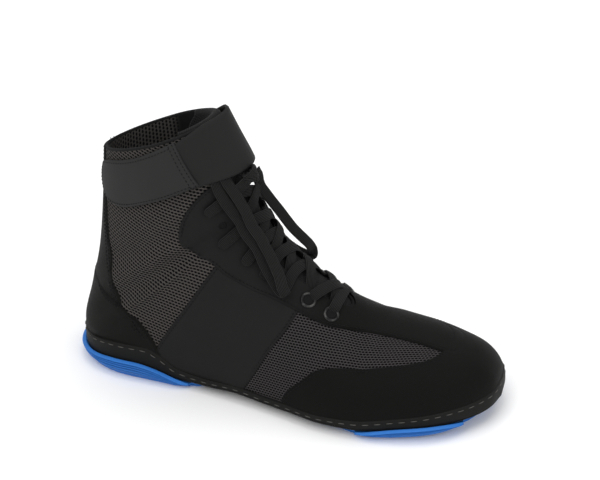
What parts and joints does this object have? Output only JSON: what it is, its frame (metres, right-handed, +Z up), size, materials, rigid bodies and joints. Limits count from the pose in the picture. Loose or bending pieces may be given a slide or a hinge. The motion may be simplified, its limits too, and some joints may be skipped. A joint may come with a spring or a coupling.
{
  "type": "wrestling shoe",
  "caption": "Black high-top wrestling shoe with mesh upper, toe cap, ankle strap, laces and a blue split rubber sole.",
  "frame": {"origin": "centre of the bounding box in plan, on the ground under the soles", "axes": "+X towards the toe, -Y the outer (lateral) side, +Z up"},
  "size_m": [0.2902, 0.1104, 0.1949],
  "materials": {
    "mesh_fabric": "woven mesh",
    "synthetic": "soft matte synthetic leather",
    "black_rubber": "matte",
    "blue_rubber": "satin",
    "lining": "brushed",
    "strap": "soft matte",
    "lace": "flat woven cord",
    "eyelet_metal": "dark satin"
  },
  "bodies": {
    "root": {"upper": "mesh_fabric", "side_wrap": "black_rubber", "bottom_unit": "black_rubber", "forefoot_pod": "blue_rubber", "heel_pod": "blue_rubber", "insole": "lining", "tongue": "mesh_fabric", "toe_cap": "synthetic", "saddle_panel": "synthetic", "heel_counter": "synthetic", "ankle_strap": "strap", "strap_tab": "strap", "eyelet_1_lateral": "eyelet_metal", "eyelet_1_medial": "eyelet_metal", "eyelet_2_lateral": "eyelet_metal", "eyelet_2_medial": "eyelet_metal", "eyelet_3_lateral": "eyelet_metal", "eyelet_3_medial": "eyelet_metal", "eyelet_4_lateral": "eyelet_metal", "eyelet_4_medial": "eyelet_metal", "eyelet_5_lateral": "eyelet_metal", "eyelet_5_medial": "eyelet_metal", "eyelet_6_lateral": "eyelet_metal", "eyelet_6_medial": "eyelet_metal", "eyelet_7_lateral": "eyelet_metal", "eyelet_7_medial": "eyelet_metal", "eyelet_8_lateral": "eyelet_metal", "eyelet_8_medial": "eyelet_metal", "lace_crossings": "lace", "bow_knot": "lace", "bow_loop_near": "lace", "bow_loop_far": "lace"}
  },
  "joints": []
}
